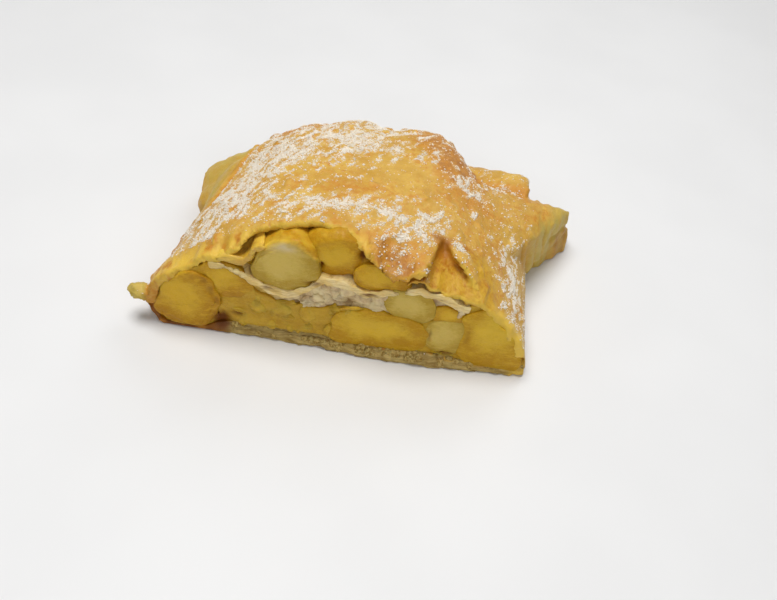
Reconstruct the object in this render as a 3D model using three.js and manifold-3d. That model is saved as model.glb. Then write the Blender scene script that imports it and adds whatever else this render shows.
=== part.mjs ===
// Apple strudel, the end piece of a roll, cut once with a knife.
// Millimetres, z up. x runs along the cut, y from the cut towards the closed end.
// One pastry crust wraps everything. At the cut it shows two inner dough sheets, three layers of
// filling that run through the piece, and the apple chunks that the knife went through.

import * as THREE from 'three';
import { mergeVertices } from 'three/addons/utils/BufferGeometryUtils.js';
import Module from 'manifold-3d';

const wasm = await Module();
wasm.setup();

// Driving dimensions of the roll.
const HALF_WIDTH = 63; // half the width of the cut
const HEIGHT = 45; // top of the dome near the cut
const DEPTH = 93; // from the cut to the closed end
const END_DROP = 7.5; // how far the top has fallen at the closed end
const END_ROUNDING = 11; // power of the curve that rounds the closed end over
const LEFT_TAPER = 0.1; // share by which the left side draws in towards the closed end
const LEFT_SHOULDER = 6; // height of the left wall's widest place
const LEFT_BULGE = 5; // the left wall is widest above the floor, and turns in by this much at its foot

// Crust.
const TOP_THICKNESS = 2.2;
const WALL_THICKNESS = 3.2;
const BACK_THICKNESS = 9;
const FLAP_OVERHANG = 2.2; // the sagging part of the lip passes the cut by this much
const ARCH_RECESS = 7; // the lip lies back over the left chunks by this much
const NOTCH_DEPTH = 17;
const NOTCH_BOTTOM = 27; // lies inside the orange hollow under the lip
const LOWER_LAYER_THICKNESS = 1.9;
const LOWER_LAYER_SPAN = [20, 55]; // in x
const LOWER_LAYER_REACH = [0.6, 24]; // in y
const LOWER_LAYER_SLOPE = 0.36;
const EDGE_RISE = 1; // the dome's edges stand this far above its floor

// Filling.
const GAP = 0.3; // clearance between neighbouring pieces
const SHEET_THICKNESS = 1.7;
const HIGH_SHEET_THICKNESS = 1.4;
const LOWER_FACE = 1.5; // how far each layer's face lies behind the cut
const CREAM_FACE = 2.2;
const UPPER_FACE = 9; // the top of the filling has sunk back under the arch of the lip
const SHEET_FACE = 0.5;
const LEAST_CREAM = 0.6;
const FAR = 120; // beyond the piece in every direction

// Hills and hollows of the top: centre x and y, half sizes in x and y, height.
const RELIEF = {
  saggingLip: [16, -3, 9, 9, -7.5],
  leftArch: [-12, 7, 15, 12, 2],
  leftLip: [-41, 0, 7, 8, -2.4],
  ridge: [29, 68, 9, 22, 4],
  backValley: [44, 80, 8, 14, -9],
  centreHollow: [2, 44, 12, 12, -1.4],
  notchRidge: [38, 9, 5, 9, 2.4],
  rightDip: [47, -2, 7, 9, -4.4],
  rightFold: [46, 36, 5, 16, 1.6],
  leftSwell: [-34, 26, 12, 20, 1.2],
  leftDent: [-42, 48, 8, 12, -2.5],
};

// Apple chunks at the cut: centre x, y, z, half sizes in x, y, z, and how boxy the chunk is.
const CHUNKS = [
  { centre: [-49, 4, 12], half: [10.4, 13, 11.2], power: 2.3, face: -0.8 },
  { centre: [-36.5, 5, 22.5], half: [8.2, 11, 6], power: 2.4, face: 0.9 },
  { centre: [-17, 5, 32], half: [10.6, 13, 9.2], power: 2.4, face: 0.3 },
  { centre: [-1, 9, 37.4], half: [8.6, 9, 6.2], power: 2.3, face: 2.2 },
  { centre: [13.5, 6, 32.2], half: [8.2, 10, 4.9], power: 2.5, face: 0.8 },
  { centre: [23, 5, 23.6], half: [7.4, 10, 6.2], power: 2.4, face: 0.6 },
  { centre: [13.5, 5, 10.2], half: [14.6, 14, 7.4], power: 3.2, face: -0.3 },
  { centre: [35, 5, 11.6], half: [5.9, 10, 7], power: 2.7, face: 0.2 },
  { centre: [36, 5, 21.4], half: [5.2, 8, 3], power: 2.2, face: 0.9 },
  { centre: [51, 5, 13.6], half: [9.4, 14, 12.6], power: 3.2, face: 0.1 },
];

// Rounded lobes of gathered dough at the closed end: centre, half sizes, how boxy.
const LOBES = [
  { centre: [-51, 57.5, 7], half: [9.4, 8.5, 8.5], power: 2.2 },
  { centre: [-64.6, 2.6, 11], half: [4.8, 3.2, 2.7], power: 2 },
];

// Wings of folded dough that stick out at the closed end, each with values at its two ends in x.
const WINGS = [
  { span: [-60.5, -34], front: [62, 46], back: [76, 84], top: [14, 27], bottom: [0, 0], pleats: 8 },
  { span: [33, 60.5], front: [58, 63], back: [88, 79], top: [23, 28.5], bottom: [0, 0], pleats: 8 },
  { span: [44, 77.5], front: [16, 68], back: [63, 72], top: [33.5, 19.5], bottom: [0, 9.5], pleats: 15 },
  { span: [52, 79.5], front: [38, 69], back: [72, 76], top: [12, 9.5], bottom: [0, 0], pleats: 11 },
];
const PLEAT_DEPTH = 0.8;
const WING_ROUNDING = 3;

const bell = (value, centre, width) => Math.exp(-(((value - centre) / width) ** 2));

// Rises smoothly from 0 to 1 as a value goes from one limit to the other, in either direction.
const ramp = (value, from, to) => THREE.MathUtils.smoothstep((value - from) / (to - from), 0, 1);

// A smooth curve z(x) through a few points, level beyond its ends.
function profile(points) {
  return (x) => {
    if (x <= points[0][0]) return points[0][1];
    const last = points.length - 1;
    if (x >= points[last][0]) return points[last][1];
    const k = points.findIndex((point, index) => index > 0 && x <= point[0]);
    const [x0, z0] = points[k - 1];
    const [x1, z1] = points[k];
    return z0 + (z1 - z0) * ramp(x, x0, x1) * 0.5 + (z1 - z0) * ((x - x0) / (x1 - x0)) * 0.5;
  };
}

const relief = (x, y) =>
  Object.values(RELIEF).reduce(
    (sum, [cx, cy, rx, ry, height]) => sum + height * bell(x, cx, rx) * bell(y, cy, ry),
    0,
  );

// Where the crust's front edge lies, over and under the filling.
const lipY = (x) => ARCH_RECESS * ramp(x, -36, -24) * ramp(x, 12, -3) - FLAP_OVERHANG * bell(x, 15, 8);
const footY = (x) => -2.6 * bell(x, 22, 30);

// The left side draws in away from the cut.
const narrowing = (x, y) => 1 - LEFT_TAPER * ramp(y, 5, 55) * ramp(x, 0, -40);

// The closed end's outline: rounded at both corners and loosely gathered between them.
function backY(x) {
  const corners = 22 * ramp(x, -24, -66) + 17 * ramp(x, 24, 46);
  const swells = 7 * bell(x, -5, 8) + 8 * bell(x, 19, 10);
  const gathers = 0.8 * Math.cos(x / 1.9) + 0.5 * Math.cos(x / 3.3 + 1);
  return DEPTH - corners + swells + gathers;
}

// A closed solid between an upper and a lower grid of points.
function block(columns, rows, upper, lower) {
  const points = [];
  for (const surface of [upper, lower]) {
    for (let j = 0; j <= rows; j++) {
      for (let i = 0; i <= columns; i++) points.push(...surface(i / columns, j / rows));
    }
  }
  const size = (columns + 1) * (rows + 1);
  const at = (i, j, side) => side * size + j * (columns + 1) + i;
  const faces = [];
  const quad = (a, b, c, d) => faces.push(a, b, c, a, c, d);
  for (let j = 0; j < rows; j++) {
    for (let i = 0; i < columns; i++) {
      quad(at(i, j, 0), at(i + 1, j, 0), at(i + 1, j + 1, 0), at(i, j + 1, 0));
      quad(at(i, j, 1), at(i, j + 1, 1), at(i + 1, j + 1, 1), at(i + 1, j, 1));
    }
  }
  for (let i = 0; i < columns; i++) {
    quad(at(i, 0, 1), at(i + 1, 0, 1), at(i + 1, 0, 0), at(i, 0, 0));
    quad(at(i + 1, rows, 1), at(i, rows, 1), at(i, rows, 0), at(i + 1, rows, 0));
  }
  for (let j = 0; j < rows; j++) {
    quad(at(0, j + 1, 1), at(0, j, 1), at(0, j, 0), at(0, j + 1, 0));
    quad(at(columns, j, 1), at(columns, j + 1, 1), at(columns, j + 1, 0), at(columns, j, 0));
  }
  return new wasm.Manifold(
    new wasm.Mesh({
      numProp: 3,
      vertProperties: new Float32Array(points),
      triVerts: new Uint32Array(faces),
    }),
  );
}

// A three.js geometry as a solid.
function solid(geometry) {
  geometry.deleteAttribute('normal');
  geometry.deleteAttribute('uv');
  const merged = mergeVertices(geometry, 1e-4);
  return new wasm.Manifold(
    new wasm.Mesh({
      numProp: 3,
      vertProperties: new Float32Array(merged.attributes.position.array),
      triVerts: new Uint32Array(merged.index.array),
    }),
  );
}

// A box-shaped region, for trimming.
function region([x0, y0, z0], [x1, y1, z1]) {
  const box = new THREE.BoxGeometry(x1 - x0, y1 - y0, z1 - z0);
  return solid(box.translate((x0 + x1) / 2, (y0 + y1) / 2, (z0 + z1) / 2));
}

// Everything between two heights that vary with x and y.
function layer([x0, x1], [y0, y1], columns, rows, low, high) {
  const surface = (height) => (u, v) => {
    const x = THREE.MathUtils.lerp(x0, x1, u);
    const y = THREE.MathUtils.lerp(y0, y1, v);
    return [x, y, height(x, y)];
  };
  return block(columns, rows, surface(high), surface(low));
}

// The roll's dome, smaller by the side, top and back insets. Its edges stand above its floor by rise.
// Rows follow it from the cut to the closed end, and ahead carries its front straight on past the cut.
function dome({ columns, rows, side, top, back, floor, rise, footTurn, ahead }) {
  const fall = (y) => HEIGHT - END_DROP * ramp(y, 22, DEPTH + 6);
  const finer = (u) => u - 0.05 * (Math.sin(2 * Math.PI * (u - 0.6)) + Math.sin(1.2 * Math.PI));
  const place = (u, v) => {
    const angle = Math.PI * (1 - THREE.MathUtils.clamp(finer(u), 0, 1));
    const x = (HALF_WIDTH - side) * Math.cos(angle);
    const row = ahead > 0 ? v * (rows + 1) - 1 : v * rows;
    const step = Math.max(row, 0) / rows;
    const s = step - 0.11 * Math.sin(2 * Math.PI * step);
    const y = THREE.MathUtils.lerp(lipY(x), backY(x) - back, s);
    const closing = (1 - 0.985 * s ** END_ROUNDING) ** 0.5;
    const fullness = 1 - 0.25 * ramp(y, 10, 70);
    const raised = (fall(y) + relief(x, y)) * Math.sin(angle) ** fullness;
    const z = raised * closing - top * (0.35 + 0.65 * Math.sin(angle));
    return { x, y, z, s, forward: row < 0 ? ahead : 0 };
  };
  const upper = (u, v) => {
    const { x, y, z, s, forward } = place(u, v);
    const lowest = floor(x) + rise + LEFT_SHOULDER * (1 - s) * ramp(x, -50, -62);
    return [x * narrowing(x, y), y - forward, Math.max(z, lowest)];
  };
  const lower = (u, v) => {
    const { x, y, s, forward } = place(u, v);
    const turnIn = footTurn * ramp(x, -50, -62);
    const frontFoot = THREE.MathUtils.lerp(footY(x), y, ramp(s, 0, 0.12));
    return [(x + turnIn) * narrowing(x, y), frontFoot - forward, floor(x)];
  };
  return block(columns, ahead > 0 ? rows + 1 : rows, upper, lower);
}

// The crust is thin under the left chunk, and thicker where dough layers pile up under the rest.
const floorZ = (x) => 1.3 + 3.6 * ramp(x, -41, -34) - 0.9 * ramp(x, -8, 2) - 1.2 * ramp(x, 30, 48);

// A wing of folded dough, pleated in front and behind, and rounded off at its outer end.
function wing({ span, front, back, top, bottom, pleats }) {
  const { lerp } = THREE.MathUtils;
  const surface = (height, edgeDrop, endDrop) => (u, v) => {
    const outward = Math.abs(span[1]) > Math.abs(span[0]) ? u : 1 - u;
    const pleat = PLEAT_DEPTH * Math.cos(pleats * Math.PI * u);
    const y = lerp(lerp(...front, u) + pleat, lerp(...back, u) - pleat, v);
    const drop = edgeDrop * Math.abs(2 * v - 1) ** 3 + endDrop * outward ** 8;
    return [lerp(...span, u), y, lerp(...height, u) - drop];
  };
  return block(pleats, 4, surface(top, WING_ROUNDING, WING_ROUNDING / 2), surface(bottom, 0, 0));
}

// A lump, boxy or round, grown by some clearance.
function lump({ centre, half, power }, clearance = 0) {
  const shape = new THREE.SphereGeometry(1, 11, 7);
  const position = shape.attributes.position;
  const size = half.map((length) => length + clearance);
  for (let k = 0; k < position.count; k++) {
    const along = [position.getX(k), position.getY(k), position.getZ(k)];
    const reach = along.reduce((sum, part) => sum + Math.abs(part) ** power, 0) ** (-1 / power);
    const uneven = 1 + 0.04 * Math.sin(3 * along[0] + centre[0]) * Math.cos(2.5 * along[2] + centre[2]);
    position.setXYZ(k, ...along.map((part, axis) => part * reach * uneven * size[axis]));
  }
  return solid(shape.translate(...centre));
}

// An apple chunk with the flat face that the knife left.
function chunk(size, clearance = 0) {
  return lump(size, clearance).intersect(region([-FAR, size.face - clearance, -FAR], [FAR, FAR, FAR]));
}

// Second crust layer that shows under the notch in the lip: it rises from the cut to meet the top.
const lowerLayerAtCut = profile([
  [20, 32.5], [25, 34.4], [30, 32], [35, 30], [41, 29.5], [50, 25.6], [56, 21],
]);
const lowerLayerZ = (x, y) =>
  lowerLayerAtCut(x) + LOWER_LAYER_SLOPE * Math.max(y, 0) * (1 - 0.5 * ramp(x, 40, 54));

function lowerLayer(clearance = 0) {
  const top = (x, y) => lowerLayerZ(x, y) + clearance;
  const bottom = (x, y) => lowerLayerZ(x, y) - LOWER_LAYER_THICKNESS - clearance;
  const [left, right] = LOWER_LAYER_SPAN;
  return layer([left - clearance, right + clearance], LOWER_LAYER_REACH, 14, 4, bottom, top);
}

// The notch between the sagging lip and the fold on its right, seen from above.
function notch() {
  const outline = new THREE.Shape();
  outline.moveTo(25.5, -6);
  outline.quadraticCurveTo(27, 10, 30.5, NOTCH_DEPTH);
  outline.quadraticCurveTo(33, 9, 39, 5.5);
  outline.quadraticCurveTo(44, 3, 46, -6);
  outline.closePath();
  const prism = new THREE.ExtrudeGeometry(outline, { depth: FAR, bevelEnabled: false, curveSegments: 5 });
  return solid(prism.translate(0, 0, NOTCH_BOTTOM));
}

function cavity(clearance) {
  return dome({
    columns: 22,
    rows: 7,
    side: WALL_THICKNESS + 3 * clearance,
    top: TOP_THICKNESS + 1.4 * clearance,
    back: BACK_THICKNESS + 5 * clearance,
    floor: (x) => floorZ(x) + 1.8 * clearance,
    rise: EDGE_RISE + 0.3 - 3.5 * clearance,
    footTurn: 0.4 * LEFT_BULGE + 6 * clearance,
    ahead: 8,
  });
}

function crust() {
  const outside = dome({
    columns: 36,
    rows: 14,
    side: 0,
    top: 0,
    back: 0,
    floor: () => 0,
    rise: EDGE_RISE,
    footTurn: LEFT_BULGE,
    ahead: 0,
  });
  const inside = cavity(0);
  const gathered = [...LOBES.map((size) => lump(size)), ...WINGS.map(wing)];
  const shell = gathered.reduce((whole, fold) => whole.add(fold), outside);
  const aboveFloor = region([-FAR, -FAR, 0], [FAR, FAR, FAR]);
  const trimmedLayer = lowerLayer().intersect(outside);
  return shell.intersect(aboveFloor).subtract(inside).subtract(notch()).add(trimmedLayer);
}

// Everything inside the crust.
const core = cavity(GAP);

// Heights of the two inner sheets and of the cream layer's underside, from left to right at the cut.
const lowSheetAtCut = profile([
  [-40, 29], [-32, 27.5], [-27, 25], [-20, 21], [-12, 22], [-5.5, 30.2], [1, 29], [10, 25], [17, 28.2],
  [23, 31.2], [31, 29], [41, 26.6],
]);
const highSheetAtCut = profile([
  [-45, 27.8], [-41, 31], [-31, 31.4], [-27, 36.6], [-24, 41.2], [-19, 43.4],
]);
const creamAtCut = profile([
  [-44, 27.6], [-36, 26.6], [-31, 24.6], [-24, 18.5], [-14, 16], [-2, 17.6], [14, 18.6], [28, 17.6],
  [41, 24],
]);

// Away from the cut the layers wander and sink a little.
const drift = (x, y) => ramp(y, 12, 40) * (1.1 * Math.sin(y / 11 + x / 23) - 0.05 * y);
const lowSheetZ = (x, y) => lowSheetAtCut(x) + drift(x, y);
const creamZ = (x, y) => creamAtCut(x) + drift(x, y);
const highSheetZ = (x, y) => highSheetAtCut(x) + 0.1 * y;

const HALF_SHEET = SHEET_THICKNESS / 2;
const SHEET_SPAN = [-40, 41.5];
const HIGH_SHEET_SPAN = [-43.3, -20];
const CREAM_SPAN = [-33, 41];
const UPPER_SPAN = [-39, 41];
const LAYERED_SPAN = [-43.6, 41.8]; // here the lower filling stays under the layers

// Layers share one grid, so that they stay the same distance apart between its points.
const layerOnGrid = (low, high) => layer(LAYERED_SPAN, [-10, DEPTH + 10], 20, 3, low, high);

// A layer of the core, from its own face behind the cut through to the closed end.
function through([x0, x1], face, low, high) {
  return layerOnGrid(low, high).intersect(region([x0, face, -FAR], [x1, FAR, FAR])).intersect(core);
}

// A dough sheet that follows a height.
function sheet(span, thickness, height) {
  const low = (x, y) => height(x, y) - thickness / 2;
  const high = (x, y) => height(x, y) + thickness / 2;
  return through(span, SHEET_FACE, low, high);
}

function upperFilling() {
  const low = (x, y) => lowSheetZ(x, y) + HALF_SHEET + GAP;
  const high = (x, y) => (x < HIGH_SHEET_SPAN[1] + 1 ? highSheetZ(x, y) - HALF_SHEET - GAP : FAR);
  return through(UPPER_SPAN, UPPER_FACE, low, high);
}

function creamLayer() {
  const high = (x, y) => Math.max(lowSheetZ(x, y) - HALF_SHEET - GAP, creamZ(x, y) + LEAST_CREAM);
  return through(CREAM_SPAN, CREAM_FACE, creamZ, high);
}

function lowerFilling() {
  const layered = layerOnGrid((x, y) => creamZ(x, y) - GAP, () => FAR);
  return core.intersect(region([-FAR, LOWER_FACE, -FAR], [FAR, FAR, FAR])).subtract(layered);
}

// Chunks lie inside the crust and clear of its lower layer and of one another.
function appleChunks() {
  const chunks = CHUNKS.map((size) => chunk(size).intersect(core).subtract(lowerLayer(GAP)));
  return chunks.map((piece, index) =>
    CHUNKS.slice(0, index).reduce((rest, earlier) => rest.subtract(chunk(earlier, GAP)), piece),
  );
}

// What is left of a layer beside the chunks and the crust's lower layer.
function beside(piece) {
  const aroundChunks = CHUNKS.reduce((rest, size) => rest.subtract(chunk(size, GAP)), piece);
  return aroundChunks.subtract(lowerLayer(GAP));
}

// A cut can leave loose slivers behind: only the largest body is kept.
function largest(piece) {
  return piece.decompose().reduce((best, body) => (body.volume() > best.volume() ? body : best));
}

const MATERIALS = {
  pastry: { color: 0xd1a45b, roughness: 0.55 },
  dough: { color: 0xd9c690, roughness: 0.6 },
  apple: { color: 0xc9a443, roughness: 0.35 },
  cream: { color: 0xc4ad86, roughness: 0.5 },
  mush: { color: 0xb58a32, roughness: 0.4 },
};

const strudel = new THREE.Group();

function place(name, piece, looks) {
  const { vertProperties, triVerts } = largest(piece).getMesh();
  const geometry = new THREE.BufferGeometry();
  geometry.setAttribute('position', new THREE.BufferAttribute(vertProperties, 3));
  geometry.setIndex(new THREE.BufferAttribute(triVerts, 1));
  const mesh = new THREE.Mesh(geometry, new THREE.MeshStandardMaterial({ metalness: 0, ...looks }));
  mesh.name = name;
  strudel.add(mesh);
}

place('crust', crust(), MATERIALS.pastry);
place('inner_sheet_low', beside(sheet(SHEET_SPAN, SHEET_THICKNESS, lowSheetZ)), MATERIALS.dough);
place('inner_sheet_high', beside(sheet(HIGH_SHEET_SPAN, HIGH_SHEET_THICKNESS, highSheetZ)), MATERIALS.dough);
place('upper_filling', beside(upperFilling()), MATERIALS.mush);
place('cream_layer', beside(creamLayer()), MATERIALS.cream);
place('lower_filling', beside(lowerFilling()), MATERIALS.mush);
appleChunks().forEach((piece, index) => place(`apple_chunk_${index + 1}`, piece, MATERIALS.apple));

// The origin is at the middle of the underside.
const box = new THREE.Box3().setFromObject(strudel);
const middle = box.getCenter(new THREE.Vector3());
strudel.position.set(-middle.x, -middle.y, -box.min.z);

export default strudel;
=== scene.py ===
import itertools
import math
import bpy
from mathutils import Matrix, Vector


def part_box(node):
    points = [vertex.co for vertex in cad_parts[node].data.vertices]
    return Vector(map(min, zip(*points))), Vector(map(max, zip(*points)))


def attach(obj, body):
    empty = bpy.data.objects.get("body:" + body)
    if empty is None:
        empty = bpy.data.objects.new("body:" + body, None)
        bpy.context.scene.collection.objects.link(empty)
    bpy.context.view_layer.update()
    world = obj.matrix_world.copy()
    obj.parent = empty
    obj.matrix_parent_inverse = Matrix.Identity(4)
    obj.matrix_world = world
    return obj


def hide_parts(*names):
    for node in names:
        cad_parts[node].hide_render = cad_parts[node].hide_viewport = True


bl_info = {
    "name": "Apple strudel",
    "version": (1, 0, 0),
    "blender": (4, 5, 0),
    "location": "View3D > Sidebar > Strudel",
    "description": "Dresses the end piece of an apple strudel: baked crust, cut filling and icing sugar",
    "category": "Object",
}

import types
import typing

import bmesh
import bpy
import numpy as np
from mathutils import Matrix, Vector
from mathutils.bvhtree import BVHTree

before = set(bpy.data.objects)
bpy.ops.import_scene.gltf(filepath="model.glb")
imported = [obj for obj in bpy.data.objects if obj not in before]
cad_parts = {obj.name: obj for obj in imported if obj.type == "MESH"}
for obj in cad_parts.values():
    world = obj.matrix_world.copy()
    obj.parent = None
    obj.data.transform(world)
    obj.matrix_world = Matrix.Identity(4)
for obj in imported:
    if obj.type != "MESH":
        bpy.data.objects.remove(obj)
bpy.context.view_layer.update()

MM = 0.001

# Shapes are worked out in the cut's own millimetres: x along the cut from its middle, y back from
# the knife's plane and z up from the base.
CRUST_RIGHT_TIP = 79.5
FILLING_FACE = 1.5
CUT_ORIGIN = Vector(
    (
        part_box("crust")[1].x - CRUST_RIGHT_TIP * MM,
        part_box("lower_filling")[0].y - FILLING_FACE * MM,
        0.0,
    )
)


class Cut(typing.NamedTuple):
    """How a piece of the filling meets the knife and its neighbours.

    Face is how far its cut face lies behind the knife's plane, or in front of it where negative.
    Flatness 1 makes that face flat. Its sides swell to meet what is beside them. Growth widens and
    raises it. Kind names a chunk's colours, and smoothing is how often a chunk's mesh is smoothed.
    It is pressed against planes, each given by a point (x, z) and the way it faces.
    """

    face: float
    swell: float = 1.15
    flatness: float = 0.85
    growth: tuple = (1, 1)
    kind: str = "apple"
    smoothing: int = 11
    planes: tuple = ()


CUTS = {
    "lower_filling": Cut(0.3, swell=0.6),
    "cream_layer": Cut(0.9, swell=0.5, flatness=0.6),
    "upper_filling": Cut(3.4, swell=0.1),
    "inner_sheet_low": Cut(0.0, swell=0.5),
    "inner_sheet_high": Cut(0.3, swell=0.5),
    "apple_chunk_1": Cut(
        -0.5,
        swell=2.2,
        growth=(1.03, 1.06),
        kind="gold_apple",
        planes=(
            ((-56.6, 10.0), (-1.0, 0.0)),
            ((-54.7, 5.3), (-0.55, -0.83)),
            ((-43.3, 6.8), (0.89, -0.45)),
            ((-40.1, 12.0), (1.0, 0.0)),
        ),
    ),
    "apple_chunk_2": Cut(0.2, kind="gold_apple"),
    "apple_chunk_3": Cut(-0.1, flatness=0.3, kind="pale_apple", planes=(((-23.3, 35.8), (-0.77, 0.64)),)),
    "apple_chunk_4": Cut(
        1.5,
        swell=1.7,
        flatness=0.45,
        growth=(1.12, 1.08),
        kind="gold_apple",
        planes=(((6.3, 40.9), (0.6, 0.8)),),
    ),
    "apple_chunk_5": Cut(0.4, flatness=0.6, growth=(1.05, 1.03), kind="gold_apple"),
    "apple_chunk_6": Cut(0.1, kind="pale_apple"),
    "apple_chunk_7": Cut(-0.3),
    "apple_chunk_8": Cut(0.0, kind="pale_apple", smoothing=6),
    "apple_chunk_9": Cut(0.3, kind="gold_apple", smoothing=6),
    "apple_chunk_10": Cut(-0.2, swell=2.0, growth=(1.06, 1.02)),
}
CHUNK_NODES = sorted(name for name in CUTS if name.startswith("apple_chunk_"))

# Share by which the planes push back what lies past them.
PLANE_FIRMNESS = 0.85

# Lobes of the lip over the left chunks: x, half width, rise.
LIP_LOBES = ((-48, 3, -1.6), (-43, 2.2, 1.2), (-36.5, 3.2, -2.4), (-30.5, 2.5, -0.8), (-15, 6, -1.3))

# The crust's second layer, which shows under the notch of the lip: x, and its height at the knife's
# plane. It rises by the slope towards the back.
SECOND_LAYER = ((20, 25, 30, 35, 41, 50, 56), (32.5, 34.4, 32, 30, 29.5, 25.6, 21))
SECOND_LAYER_SLOPE = 0.36

# Edge of the thin dough that drapes over one chunk: x, and the height above which the dough covers
# the chunk at the knife's plane. The edge sinks by the slope towards the back.
DRAPED_CHUNK = "apple_chunk_3"
DRAPE_EDGE = ((-26, -21.3, -18, -13.7, -10.7, -7.1, -3), (37, 41.8, 42.6, 42, 39.4, 36.8, 34))
DRAPE_SLOPE = 0.93

# Layers of the filling: node, the piece's ending, slot, cell and relief as shares of the filling's,
# seed, and the size of its lumps.
SOFT_LAYERS = (
    ("upper_filling", "soft", "filling", 1.3, 0.6, 70, (12, 9, 6)),
    ("lower_filling", "soft", "filling", 1.3, 0.6, 71, (12, 9, 6)),
    ("cream_layer", "curds", "cream", 1.0, 1.2, 80, (6.0, 5.0, 2.4)),
)

# The apple chunks' cell and relief, as shares of the filling's.
CHUNK_CELL = 0.85
CHUNK_RELIEF = 0.6

# Cell and relief of the inner dough sheets, in mm.
SHEET_CELL = 0.5
SHEET_RELIEF = 0.55

# Zones of the crust. Each side has its axis, the place where the zone starts and where it is full.
ZONES = {
    "underside": (("z", 1.0, 0.2), ("y", 4, 8)),
    "notch": (("x", 27.5, 30), ("x", 54, 49), ("y", 23, 18), ("y", 2, 4), ("z", 29, 31)),
    "flap_fold": (("x", 32, 34), ("x", 49, 46), ("z", 27, 31)),
    "hollow": (("x", 25, 28), ("x", 50, 46), ("y", 19, 15)),
    "hollow_back_shade": (("y", 5, 16), ("x", 41, 36)),
    "hollow_apex_shade": (("y", 10.5, 15.5), ("x", 37, 33)),
    "lip": (("y", 12, 3), ("z", 10, 17)),
    "lip_edge": (("y", 9, 2), ("z", 12, 18)),
    "inside_lip": (("y", 15, 5), ("z", 9, 15)),
    "near_lip": (("y", 9.5, 2.5), ("x", 12, 4), ("z", 14, 22)),
    "left_lip": (("y", 3.5, 0.8), ("z", 20, 25), ("x", 8, 2)),
    "bare_lip": (("y", 9, 6.3), ("x", 12, 4)),
    "arch": (("x", -44, -40), ("x", 14, 8), ("z", 22, 27)),
    "base_front": (("y", 1.5, -0.5), ("z", 9, 6)),
    "base_edge": (("y", 4, 2), ("z", 7.5, 6), ("x", -42, -36)),
    "base_cut": (("y", 6, 3), ("z", 7.5, 5.5), ("x", -42, -35)),
    "ledge": (("y", 2.0, 0.0), ("z", 1.8, 2.6), ("z", 6.5, 5.0), ("x", -40, -30)),
    "left_shoulder": (("x", -48, -55), ("x", -64, -61), ("y", 16, 4)),
    "left_wall": (("x", -52, -56), ("x", -63.5, -61.5), ("y", 36, 20), ("z", 24, 17)),
    "left_foot": (("x", -36, -41), ("z", 9, 1.5), ("y", 40, 2)),
    "left_seam": (("y", 29, 35), ("z", 8, 14)),
    "flake": (("x", -61.5, -63.5), ("y", 12, 8)),
    "right_edge": (("y", 5, 1.5), ("x", 42, 47)),
    "right_ear": (("x", 58, 66), ("y", 30, 44)),
    "right_tip": (("x", 67, 72), ("y", 30, 44)),
    "low_tip": (("z", 13.5, 11), ("x", 70, 74)),
    "ear_root": (("x", 34, 41), ("x", 58, 52), ("y", 19, 24), ("z", 24, 29)),
    "pleated_side": (("x", 56, 60), ("x", 72, 67), ("y", 26, 36)),
}

# Distances from the cut over which the mesh of what is hidden in the crust and in the filling
# becomes coarse, and the shares of the faces that are left then.
HIDDEN_CRUST = (12, 20)
HIDDEN_FILLING = (12, 18)
CRUST_FACES_LEFT = 0.62
FILLING_FACES_LEFT = 0.3

# How far from a point of the crust something still hides it.
VIEW_REACH = 45
# Height of one layer at the crust's cut edges, and width of a pleat of the right ear.
LAYER_HEIGHT = 1.15
PLEAT_WIDTH = 2.9

# How much browner or paler whole parts of the crust are than the rest.
BROWNED_MASKS = {
    "near_lip": -0.3,
    "left_ear": -0.2,
    "left_foot": 1.6,
    "left_wall": 0.45,
    # Browned tips, with painted shade at the right ear's low end.
    "low_tip": 0.75,
}

# Baked patches of the top: centre x and y, half sizes, strength. They are paler where negative.
BROWN_PATCHES = [
    (31, 62, 8, 14, 1.6),
    (25, 76, 8, 9, 0.8),
    (50, 66, 11, 4, 0.5),
    (14, 2, 8, 6, 1.3),
    (-28, 77, 12, 8, 0.6),
    (-3, 31, 10, 6, 0.14),
    (11, 29, 7, 5, 0.14),
    (38, 44, 8, 6, 0.45),
    (48, 22, 6, 16, 0.25),
    (16, 46, 13, 11, -0.35),
    (46, 38, 14, 12, -0.1),
    (52, 76, 13, 6, -0.55),
]

# Where the icing sugar fell: centre x and y, half sizes, strength. The crust is bare where negative.
SUGAR_PATCHES = [
    (-50, 12, 11, 15, 0.5),
    (-44, 24, 9, 14, 0.53),
    (-36, 42, 10, 18, 0.72),
    (-20, 56, 16, 15, 0.7),
    (-6, 70, 15, 15, 0.6),
    (2, 60, 10, 8, 0.38),
    (8, 84, 14, 12, 0.5),
    (-22, 18, 11, 8, 0.55),
    (-6, 18, 11, 7, 0.64),
    (4, 22, 8, 5, 0.45),
    (12, 19, 10, 5, 0.6),
    (20, 15, 7, 7, 0.65),
    (13, 6, 7, 5, 0.22),
    (27, 22, 8, 8, 0.6),
    (22, 65, 6, 12, 0.28),
    (38, 49, 8, 6, 0.78),
    (50, 62, 9, 5, 0.45),
    (53, 24, 5, 12, 0.6),
    (56, 13, 4, 11, 0.55),
    (18, 43, 10, 9, -0.65),
    (-12, 36, 10, 6, -0.2),
    (46, 38, 8, 8, -0.2),
    (60, 56, 10, 8, -0.9),
    (38, 26, 5, 7, -0.5),
]

# The sugar's drifts run at a slant over the top.
SUGAR_SLANT = np.array(((0.87, 0.5, 0), (-0.5, 0.87, 0), (0, 0, 1)))
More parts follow.
